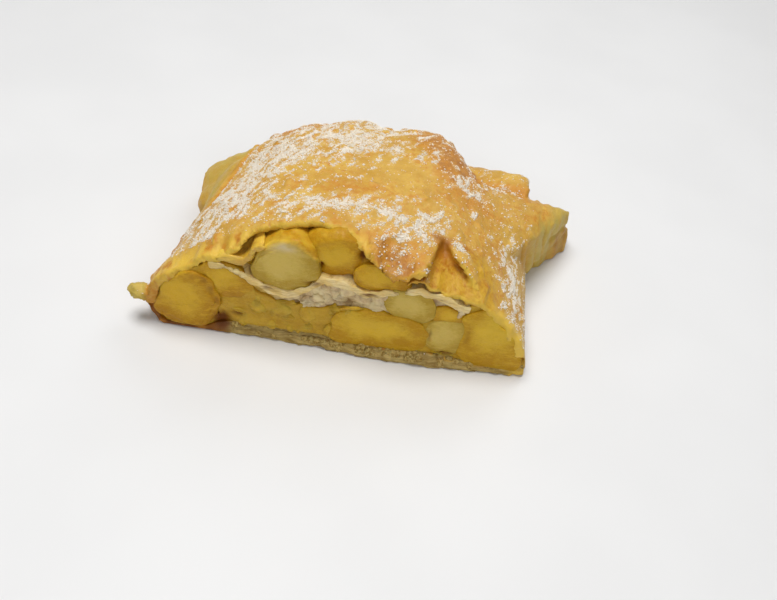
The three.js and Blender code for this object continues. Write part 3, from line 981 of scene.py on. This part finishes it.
def bend_edges(points, still, outside):
    """Bends the lip, the base's front and the left shoulder. Still are the points before the relief."""
    x, y, z = still.T
    along = still * (1, 0, 0)
    lip = zone(still, "lip")
    points[:, 2] += lip * (1.0 * wander(along, 7.5, 6) + 0.75 * wander(along, 2.9, 7))
    points[:, 1] += lip * (1.0 * wander(along, 5.5, 8) + 0.7 * wander(along, 2.3, 9))
    points[:, 1] += 0.85 * np.clip(z - 1.2, 0, 4) * zone(still, "base_front")
    fibres = 0.7 * wander(points, (2.2, 2, 1.2), 52, 2) + 0.35 * wander(points, (5, 2, 0.7), 53)
    points[:, 1] += fibres * zone(still, "base_edge")
    points += np.outer(zone(still, "left_shoulder") * bell(z, 18, 7), (-1.6, 0, 0.9))
    lobes = sum(rise * bell(x, centre, width) for centre, width, rise in LIP_LOBES)
    points[:, 2] += lobes * zone(still, "lip_edge")
    arch = (1 - outside) * zone(still, "arch")
    points[:, 2] -= 0.4 * arch * np.clip(y - 4.5, 0, 12)
    points[:, 2] = np.maximum(points[:, 2], 0.0)


def shape_crust(piece, sizes):
    """Gives the crust its wrinkles, blisters, furrows and flaky edges."""
    thin_hidden_crust(piece)
    mesh = piece.data
    soften_folds(mesh)
    points = points_of(mesh)
    normals = normals_of(mesh)
    outside = facing_out(points, normals)
    paint(mesh, "outside", outside)
    moved = points + normals * crust_relief(points, normals, outside, sizes)[:, None]
    bend_edges(moved, points, outside)
    set_points(mesh, moved)


def crust_masks(mesh):
    """The crust's points, and the masks that several of its looks share."""
    points = points_of(mesh)
    normals = normals_of(mesh)
    x, y, z = points.T
    outside = painted(mesh, "outside")
    seam = ear_seam(points)
    right_ear = zone(points, "right_ear")
    above_layer = z - np.interp(x, *SECOND_LAYER) - SECOND_LAYER_SLOPE * y
    return types.SimpleNamespace(
        points=points,
        normals=normals,
        up=normals[:, 2],
        forward=-normals[:, 1],
        outside=outside,
        seam=seam,
        pleat=pleats(points),
        lip_fold_shade=wander(points, (2.2, 5, 5), 54, 2),
        cut=step(-normals[:, 1], 0.5, 0.8) * step(y, 11, 7),
        near_lip=zone(points, "near_lip"),
        left_ear=step(seam, 1.0, -1.5) * step(y, 29, 33),
        left_wall=zone(points, "left_wall"),
        left_foot=zone(points, "left_foot"),
        flake=zone(points, "flake"),
        right_ear=right_ear,
        low_tip=zone(points, "low_tip") * right_ear,
        right_edge=zone(points, "right_edge") * outside,
        hollow=zone(points, "hollow") * step(above_layer, 3.2, 1.6) * step(above_layer, -3, -2),
    )


def browning(crust):
    """How brown the crust is baked, with painted shade in the hollow under the notch, in the lip's folds, in
    the right ear's pleat grooves and on the low parts of the ears.
    """
    points = crust.points
    brown = 0.28 * step(crust.up, 0.1, 0.8) + patches(points, BROWN_PATCHES)
    brown += 0.16 * wander(points, 9, 11, 2)
    for name, strength in BROWNED_MASKS.items():
        brown += strength * getattr(crust, name)
    brown += 0.5 * step(crust.up, -0.3, -0.75) * (1 - crust.left_ear)
    brown += 0.5 * bell(crust.seam, 0, 0.9) * zone(points, "left_seam")
    # Painted shade: the grooves of the right ear's pleats are browned on its steep faces.
    brown += 0.6 * crust.right_ear * step(crust.up, 0.75, 0.3) * (1 - crust.pleat)
    # Painted shade: the lower part of the left ear is browned.
    brown += 0.5 * crust.left_ear * step(points[:, 2], 17, 6)
    # Painted shade: brown bands along the lip stand for shade in its folds.
    brown += 0.9 * crust.near_lip * step(crust.lip_fold_shade, 0.05, 0.4)
    brown *= np.maximum(crust.outside, 0.4) * (1 - crust.hollow)
    # Painted shade: the back of the hollow under the notch is browned, darkest deepest in.
    return brown + 1.1 * crust.hollow * zone(points, "hollow_back_shade")


def paleness(crust):
    """Where the dough stays pale: along the lip between the painted shade of its folds, and on the cut edges.
    """
    x, _, z = crust.points.T
    lip = 0.75 * crust.near_lip * crust.outside * step(crust.lip_fold_shade, 0.3, -0.05)
    cut_edge = crust.cut * np.maximum(step(z, 20, 25), step(x, 44, 48)) * (1 - 0.7 * bell(x, 16, 9))
    edge = np.maximum(cut_edge, 0.8 * zone(crust.points, "left_lip"))
    pale = np.maximum.reduce((lip, 0.9 * edge, 0.7 * crust.right_edge))
    return pale * (1 - crust.left_foot) * (1 - crust.flake)


def ear_dough(crust):
    """Where the folded dough of the ears and the loose flake shows."""
    # The ear's pale dough thins in the pleats' grooves, leaving painted shade there.
    pleated = (0.4 + 0.6 * crust.pleat) * crust.right_ear * step(crust.up, 0.9, 0.5)
    tip = 0.8 * zone(crust.points, "right_tip") * step(crust.up, 0.2, 0.6)
    # Painted shade: the ear dough thins at the low end of the tip.
    right = np.maximum(pleated, tip) * (1 - 0.45 * crust.low_tip)
    folds = 0.5 + 0.5 * step(wander(crust.points, 6, 12, 2), -0.4, 0.4)
    # The left ear's pale dough fades towards its bottom: painted shade.
    left = crust.left_ear * step(crust.seam, -2, -6) * (1 - 0.8 * step(crust.points[:, 2], 19, 8)) * folds
    return np.maximum.reduce((left, right, crust.flake)) * crust.outside


def base_layers(crust):
    """Where the base is cut through and shows its layers."""
    cut = step(crust.forward, 0.2, 0.6) * zone(crust.points, "base_cut")
    return cut * (1 - 0.8 * step(crust.points[:, 0], 56, 60)) * (1 - 0.7 * crust.left_foot)


def inner_side(crust):
    """Where the crust's inner side shows, also in the hollow under the lip's notch."""
    return np.maximum((1 - crust.outside) * (1 - crust.cut), crust.hollow * (1 - 0.9 * crust.cut))


def crust_juice_and_shade(crust):
    """Where the crust is painted dark: caramel and painted shade in the pockets, painted shade at the back of
    the hollow, and caramel at the left foot.
    """
    pocket = pockets(crust.points, crust.normals)[1]
    # Painted shade: the back of the hollow, deepest under the notch, gets the dark pocket colour.
    hollow = 0.5 * crust.hollow * zone(crust.points, "hollow_apex_shade")
    blots = step(wander(crust.points, 3, 13), -0.7, 0.1)
    foot = 0.85 * crust.left_foot * step(crust.points[:, 1], 26, 8) * blots
    return np.maximum.reduce((pocket, hollow, foot))


def sugar_cover(crust):
    """How much icing sugar lies on the crust: drifts, a faint dusting, and a line on the flap's fold."""
    x, y, z = crust.points.T
    slanted = crust.points @ SUGAR_SLANT
    drifts = wander(slanted, (2.6, 6.5, 2.6), 14, 2) + 0.6 * wander(slanted, (1.4, 2.6, 1.4), 15, 2)
    open_top = crust.outside * (1 - crust.near_lip) * (1 - crust.hollow)
    cover = 0.85 * patches(crust.points, SUGAR_PATCHES) + 1.1 * drifts - 0.011
    cover *= step(crust.up, -0.05, 0.35) * open_top * (1 - crust.cut) * (1 - crust.left_wall)
    cover *= (1 - 0.8 * crust.right_edge) * (1 - zone(crust.points, "bare_lip"))
    cover *= (1 - 0.97 * crust.left_ear) * (1 - 0.9 * crust.right_ear)
    dusting = (0.13 + 0.1 * wander(crust.points, 7, 92, 2)) * step(crust.up, 0.3, 0.7) * step(z, 8, 12)
    dusting *= open_top * (1 - crust.left_ear) * (1 - crust.right_ear)
    fold = bell(y, 15.5 - 0.33 * (x - 33), 1.6) * zone(crust.points, "flap_fold")
    fold *= (0.8 + 0.4 * drifts) * crust.outside * (1 - crust.hollow)
    return np.maximum.reduce((cover, dusting, fold))


CRUST_LOOKS = {
    "brown": browning,
    "pale": paleness,
    "ear": ear_dough,
    "layered": base_layers,
    "inner": inner_side,
    "juice": crust_juice_and_shade,
    "sugar": sugar_cover,
}


# ---------------------------------------------------------------- small clumps


def clump(subdivisions):
    """Corners and faces of a ball of one mm radius, for many small things to be shaped from."""
    if subdivisions == 0:
        corners = np.array(((1, 0, 0), (-1, 0, 0), (0, 1, 0), (0, -1, 0), (0, 0, 1), (0, 0, -1)), float)
        faces = [(a, b, c) for a in (0, 1) for b in (2, 3) for c in (4, 5)]
        turned = [face if sum(face) % 2 == 0 else face[::-1] for face in faces]
        return corners, np.array(turned)
    ball = bmesh.new()
    bmesh.ops.create_icosphere(ball, subdivisions=subdivisions, radius=1.0)
    corners = np.array([vertex.co for vertex in ball.verts])
    faces = np.array([[vertex.index for vertex in face.verts] for face in ball.faces])
    ball.free()
    return corners, faces


def strewn(name, host, chance, count, radius, seed, subdivisions=0, squash=0.75, sunk=-0.2):
    """One piece of many small clumps that lie on a host, where the chance is high.

    Squash is the share of its height that a clump keeps. Sunk is how far its middle lies under the
    host's surface, as a share of half that height, or above the surface where negative.
    """
    points = points_of(host.data)
    normals = normals_of(host.data)
    draw = np.random.default_rng(seed)
    chosen = draw.choice(len(points), count, p=chance / chance.sum())
    corners, faces = clump(subdivisions)
    sizes = radius * np.exp(draw.normal(0, CLUMP_SPREAD, count)).clip(*CLUMP_LIMITS)
    bulges = np.repeat(draw.uniform(0, 99, size=(count, 1, 3)), len(corners), axis=1) + corners[None] * 0.9
    uneven = CLUMP_BULGE * wander(bulges.reshape(-1, 3), 1.0, seed, 2).reshape(count, -1, 1)
    shape = corners[None] * (1 + uneven + 0.06 * draw.normal(size=(count, len(corners), 1)))
    shape = shape * draw.uniform(*CLUMP_STRETCH, size=(count, 1, 3)) * sizes[:, None, None]
    along = normals[chosen]
    lift = (shape * along[:, None, :]).sum(2, keepdims=True)
    shape = shape - (1 - squash) * lift * along[:, None, :]
    jitter = draw.normal(0, CLUMP_JITTER, size=(count, 3))
    base = points[chosen] + jitter - (jitter * along).sum(1)[:, None] * along
    centre = base - along * (sunk * squash * sizes)[:, None]
    spots = (shape + centre[:, None, :]).reshape(-1, 3)
    links = (faces[None] + (np.arange(count) * len(corners))[:, None, None]).reshape(-1, 3)
    mesh = bpy.data.meshes.new(name)
    mesh.from_pydata(from_cut(spots).tolist(), [], links.tolist())
    return new_piece(name, mesh)


# ---------------------------------------------------------------- filling


def stirred(points):
    """Bends what lies in the filling along the cut, in the same way for every piece of it."""
    rise = step(points[:, 2], 2, 9)
    moved = points.copy()
    moved[:, 0] += 1.7 * wander(points, 9, 31) + 0.7 * wander(points, 3.6, 32)
    moved[:, 2] += (1.2 * wander(points, 8, 33) + 0.6 * wander(points, 3.2, 34)) * rise
    return moved


def grown(points, node):
    """Widens and raises a chunk, and presses it back behind its planes."""
    wider, higher = CUTS[node].growth
    middle = (points.min(0) + points.max(0)) / 2
    points = middle + (points - middle) * (wider, 1, higher)
    for (plane_x, plane_z), (lean_x, lean_z) in CUTS[node].planes:
        beyond = (points[:, 0] - plane_x) * lean_x + (points[:, 2] - plane_z) * lean_z
        points -= np.outer(PLANE_FIRMNESS * np.maximum(beyond, 0), (lean_x, 0, lean_z))
    return points


def settle(points, node):
    """Keeps the upper filling under the arch of the lip, and the left chunk off the floor."""
    if node == "upper_filling":
        under_arch = step(points[:, 0], -30, -25) * step(points[:, 0], -2, -7)
        points[:, 2] -= under_arch * 0.8 * np.maximum(points[:, 2] - 36, 0)
    if node == "apple_chunk_1":
        points[:, 2] = np.maximum(points[:, 2], 2.0 + 0.3 * wander(points, 4, 97))


def cut_flat(points, node, behind):
    """Flattens the face that the knife left. Behind is each point's distance from the front."""
    flattened = 0.15 * np.minimum(behind, 3) + np.maximum(behind - 3, 0)
    flush = step(behind, 6, 2) * CUTS[node].flatness
    if node == "upper_filling":
        flush = flush * step(points[:, 0], 7, 2)
    points[:, 1] += flush * (CUTS[node].face + flattened - points[:, 1])


def above_drape(points):
    """How far a point lies above the edge of the thin dough on the draped chunk."""
    height = points[:, 2] + DRAPE_SLOPE * points[:, 1] - np.interp(points[:, 0], *DRAPE_EDGE)
    return height + 0.4 * wander(points, 2.5, 93)


def paint_drape(mesh, points, above):
    """Masks of the draped dough, of its edge, and of a painted highlight on the flesh just under that edge.
    """
    # Painted highlight: a pale band just under the dough's edge, broken by noise.
    bloom = 0.7 * bell(points[:, 0], -17.3, 3.6) * bell(above, -2.0, 1.7)
    paint(mesh, "bloom", bloom * step(wander(points, 3, 95, 2), -0.5, 0.2))
    paint(mesh, "drape", step(above, -0.2, 0.3))
    paint(mesh, "drape_edge", 0.85 * bell(above, 0.35, 0.55))


def shape_filling(piece, node, relief, seed, lump_size=None):
    """Gives a piece its unevenness, juice pockets and the flat face that the knife left."""
    mesh = piece.data
    points = points_of(mesh)
    normals = normals_of(mesh)
    is_chunk = node in CHUNK_NODES
    behind = points[:, 1] - points[:, 1].min()
    middle = (points.min(0) + points.max(0)) / 2
    across, _, upward = ((points - middle) / (np.ptp(points, axis=0) / 2)).T
    points = grown(points, node)
    outward = CUTS[node].swell + 0.5 * wander(points, 5, seed + 20, 2) * is_chunk
    outward *= 1 - step(-normals[:, 1], 0.2, 0.75)
    points = stirred(points) + normals * outward[:, None]
    settle(points, node)
    cut_flat(points, node, behind)

    uneven = 0.5 * wander(points, 5.0, seed, 2) + 0.5 * wander(points, 1.8, seed + 1, 2)
    if lump_size:
        bent = points + 1.4 * np.stack([wander(points, 5, seed + k) for k in (5, 6, 7)], axis=1)
        uneven += 1.1 * step(lumps(bent, lump_size, seed), 0.0, 0.45) - 0.9
    if node == DRAPED_CHUNK:
        above = above_drape(points)
        uneven += 1.6 * step(above, -0.2, 0.3)
    depth, juice = pockets(points, normals)
    points = points + normals * (relief * uneven)[:, None]
    points[:, 1] += depth
    set_points(mesh, points)

    paint(mesh, "juice", juice)
    # Painted shade at the rims: darker where the piece turns back from the cut face, on its sides and lower
    # half, with random darker patches.
    crease = step(behind, 0.35, 2.0) * step(upward, 0.9, 0.2)
    paint(mesh, "crease", crease + 0.5 * step(wander(points, 4, seed + 9, 2), 0.3, 0.7))
    # Painted light and shade: a chunk is lighter a little up and left of its middle and deeper towards its
    # rims; the soft layers get an even middle value.
    core = step(np.hypot(across + 0.15, upward - 0.2), 1.15, 0.15)
    paint(mesh, "core", core if is_chunk else np.full(len(points), 0.5))
    if node == DRAPED_CHUNK:
        paint_drape(mesh, points, above)


def at_face(piece):
    """1 for the points of a filling piece that face the cut."""
    points = points_of(piece.data)
    normals = normals_of(piece.data)
    behind = points[:, 1] - points[:, 1].min()
    return step(behind, 2.5, 1.0) * step(-normals[:, 1], 0.3, 0.7)


def curdle(piece):
    """Lumps in the cream's face, with masks for painted shade in the hollows between them and for the stain
    of the filling.
    """
    points = points_of(piece.data)
    lump = wander(points, (6.5, 5.0, 2.6), 98, 2)
    points[:, 1] -= 1.1 * lump * at_face(piece)
    set_points(piece.data, points)
    paint(piece.data, "hollow", step(lump, 0.05, -0.55))
    ragged = points[:, 0] + 4 * wander(points, 5, 96, 2)
    paint(piece.data, "stain", 0.85 * step(ragged, -12, -22))


# ---------------------------------------------------------------- operators


def settings():
    """The sizes and colours that a user would change."""
    scene = bpy.context.scene
    return scene.strudel_sizes, scene.strudel_colours


def finished(piece, material, slot, *nodes):
    """Gives a piece its material and ties it to the frame."""
    piece.data.materials.clear()
    piece.data.materials.append(material)
    smooth_shaded(piece)
    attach(piece, "root")
    if nodes:
        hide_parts(*nodes)


class STRUDEL_OT_crust(bpy.types.Operator):
    """Makes the baked crust with its wrinkles, flaky edges and browning"""

    bl_idname = "strudel.crust"
    bl_label = "Crust"

    def execute(self, context):
        sizes, colours = settings()
        piece = kneaded("crust_baked", "crust", sizes.crust_cell, smoothing=3)
        shape_crust(piece, sizes)
        masks = crust_masks(piece.data)
        for name, look in CRUST_LOOKS.items():
            paint(piece.data, name, look(masks))
        finished(piece, crust_material(colours), "pastry", "crust")
        return {"FINISHED"}


class STRUDEL_OT_sugar(bpy.types.Operator):
    """Strews icing sugar on the crust"""

    bl_idname = "strudel.sugar"
    bl_label = "Icing sugar"

    def execute(self, context):
        sizes, colours = settings()
        crust = bpy.data.objects["crust_baked"]
        clumped = 0.12 + step(wander(points_of(crust.data), (1.5, 2.4, 1.5), 25, 2), -0.05, 0.3)
        chance = step(painted(crust.data, "sugar").astype(float), 0.05, 1.15) * clumped
        sugar = strewn("icing_sugar", crust, chance, sizes.grain_count, sizes.grain_radius, seed=5)
        finished(sugar, sugar_material(colours), None)
        return {"FINISHED"}


class STRUDEL_OT_dough_sheets(bpy.types.Operator):
    """Makes the inner dough sheets"""

    bl_idname = "strudel.dough_sheets"
    bl_label = "Inner dough sheets"

    def execute(self, context):
        looks = settings()[1]
        low = dough_sheet_material("Inner dough", looks.dough_light, looks.dough_warm, looks)
        high = dough_sheet_material("Upper dough", looks.pale_dough, looks.inner_light, looks)
        for seed, node, material in ((60, "inner_sheet_low", low), (61, "inner_sheet_high", high)):
            piece = kneaded(f"{node}_dough", node, SHEET_CELL, smoothing=2)
            shape_filling(piece, node, SHEET_RELIEF, seed)
            finished(piece, material, "dough", node)
        return {"FINISHED"}


class STRUDEL_OT_filling(bpy.types.Operator):
    """Makes the soft filling round the fruit, and the cream"""

    bl_idname = "strudel.filling"
    bl_label = "Soft filling"

    def execute(self, context):
        sizes, colours = settings()
        materials = {
            "filling": flesh_material("Soft filling", "mush", colours),
            "cream": cream_material(colours),
        }
        for node, ending, slot, cell, relief, seed, lump_size in SOFT_LAYERS:
            piece = kneaded(f"{node}_{ending}", node, sizes.filling_cell * cell, smoothing=3)
            thinned(piece, step(points_of(piece.data)[:, 1], *HIDDEN_FILLING), FILLING_FACES_LEFT)
            shape_filling(piece, node, sizes.fruit_relief * relief, seed, lump_size)
            if slot == "cream":
                curdle(piece)
            finished(piece, materials[slot], slot, node)
        return {"FINISHED"}


class STRUDEL_OT_apples(bpy.types.Operator):
    """Makes the apple chunks that the knife went through"""

    bl_idname = "strudel.apples"
    bl_label = "Apple chunks"

    def execute(self, context):
        sizes, colours = settings()
        names = {"apple": "Bright apple", "pale_apple": "Pale apple", "gold_apple": "Golden apple"}
        materials = {kind: flesh_material(name, kind, colours) for kind, name in names.items()}
        draped = flesh_material("Draped apple", "pale_apple", colours, draped=True)
        for seed, node in enumerate(CHUNK_NODES, 90):
            cut = CUTS[node]
            piece = kneaded(f"{node}_flesh", node, sizes.filling_cell * CHUNK_CELL, cut.smoothing)
            shape_filling(piece, node, sizes.fruit_relief * CHUNK_RELIEF, seed)
            finished(piece, draped if node == DRAPED_CHUNK else materials[cut.kind], "fruit", node)
        return {"FINISHED"}


class STRUDEL_OT_crumbs(bpy.types.Operator):
    """Makes the cream's curds, the shreds of fruit and the pastry crumbs that show at the cut"""

    bl_idname = "strudel.crumbs"
    bl_label = "Curds and crumbs"

    def execute(self, context):
        cream = bpy.data.objects["cream_layer_curds"]
        white = at_face(cream) * step(points_of(cream.data)[:, 0], -17, -11)
        curds = strewn(
            "cream_curds", cream, white, count=30, radius=1.8, seed=6, subdivisions=3, squash=0.5, sunk=0.5
        )
        finished(curds, cream.data.materials[0], "cream")

        soft = bpy.data.objects["lower_filling_soft"]
        along = points_of(soft.data)[:, 0]
        left = at_face(soft) * step(along, 22, 16) * step(along, -33, -30)
        shreds = strewn(
            "fruit_shreds", soft, left, count=30, radius=1.9, seed=7, subdivisions=3, squash=0.24, sunk=0.7
        )
        # Random tone for the shreds, in the mask that paints light and shade on the chunks.
        paint(shreds.data, "core", 0.65 + 0.5 * wander(points_of(shreds.data), 3, 94))
        finished(shreds, soft.data.materials[0], "filling")

        crust = bpy.data.objects["crust_baked"]
        ledge = zone(points_of(crust.data), "ledge")
        crumbs = strewn(
            "pastry_crumbs", crust, ledge, count=90, radius=1.0, seed=8, subdivisions=3, squash=0.35, sunk=0.6
        )
        finished(crumbs, crumb_material(settings()[1]), "pastry")
        return {"FINISHED"}


class STRUDEL_OT_stage(bpy.types.Operator):
    """Makes the floor, the lights and the camera"""

    bl_idname = "strudel.stage"
    bl_label = "Stage"

    def execute(self, context):
        sizes, colours = settings()
        self.floor(sizes.floor_size / 2, floor_material(colours))
        world = bpy.data.worlds.new("Studio")
        world.use_nodes = True
        background = world.node_tree.nodes["Background"].inputs
        background["Color"].default_value = SKY_COLOUR
        background["Strength"].default_value = SKY_STRENGTH
        context.scene.world = world
        for name, place, size, power in LIGHTS:
            self.light(name, place, size, power)
        self.camera(context.scene)
        context.scene.view_settings.view_transform = "Standard"
        return {"FINISHED"}

    def floor(self, half, material):
        corners = [(-half, -half, 0), (half, -half, 0), (half, half, 0), (-half, half, 0)]
        mesh = bpy.data.meshes.new("floor")
        mesh.from_pydata(corners, [], [(0, 1, 2, 3)])
        floor = new_piece("floor", mesh)
        floor.data.materials.append(material)

    def light(self, name, place, size, power):
        """A round lamp that looks at the middle of the floor."""
        lamp = bpy.data.lights.new(name, "AREA")
        lamp.shape = "DISK"
        lamp.size = size
        lamp.energy = power
        holder = new_piece(name, lamp)
        holder.location = place
        holder.rotation_mode = "QUATERNION"
        holder.rotation_quaternion = (-Vector(place)).to_track_quat("-Z", "Y")

    def camera(self, scene):
        camera = bpy.data.cameras.new("camera")
        camera.lens = CAMERA_LENS
        camera.clip_start = 0.01
        viewer = new_piece("camera", camera)
        place = Vector(from_cut(CAMERA_PLACE))
        aim = Vector(from_cut(CAMERA_AIM))
        turn = (aim - place).to_track_quat("-Z", "Y").to_matrix().to_4x4()
        roll = Matrix.Rotation(CAMERA_ROLL, 4, "Z")
        viewer.matrix_world = Matrix.Translation(place) @ turn @ roll
        scene.camera = viewer


OPERATORS = (
    STRUDEL_OT_crust,
    STRUDEL_OT_sugar,
    STRUDEL_OT_dough_sheets,
    STRUDEL_OT_filling,
    STRUDEL_OT_apples,
    STRUDEL_OT_crumbs,
    STRUDEL_OT_stage,
)


class STRUDEL_PT_panel(bpy.types.Panel):
    """Lists the strudel's pieces, sizes and colours"""

    bl_idname = "STRUDEL_PT_panel"
    bl_label = "Apple strudel"
    bl_space_type = "VIEW_3D"
    bl_region_type = "UI"
    bl_category = "Strudel"

    def draw(self, context):
        column = self.layout.column()
        for operator in OPERATORS:
            column.operator(operator.bl_idname)
        for group in (context.scene.strudel_sizes, context.scene.strudel_colours):
            for name in group.__annotations__:
                column.prop(group, name)


CLASSES = (StrudelSizes, StrudelColours, *OPERATORS, STRUDEL_PT_panel)


def register():
    for kind in CLASSES:
        bpy.utils.register_class(kind)
    bpy.types.Scene.strudel_sizes = bpy.props.PointerProperty(type=StrudelSizes)
    bpy.types.Scene.strudel_colours = bpy.props.PointerProperty(type=StrudelColours)


def unregister():
    del bpy.types.Scene.strudel_colours
    del bpy.types.Scene.strudel_sizes
    for kind in reversed(CLASSES):
        bpy.utils.unregister_class(kind)


def main():
    register()
    bpy.ops.strudel.crust()
    bpy.ops.strudel.sugar()
    bpy.ops.strudel.dough_sheets()
    bpy.ops.strudel.filling()
    bpy.ops.strudel.apples()
    bpy.ops.strudel.crumbs()
    bpy.ops.strudel.stage()


if __name__ == "__main__":
    main()
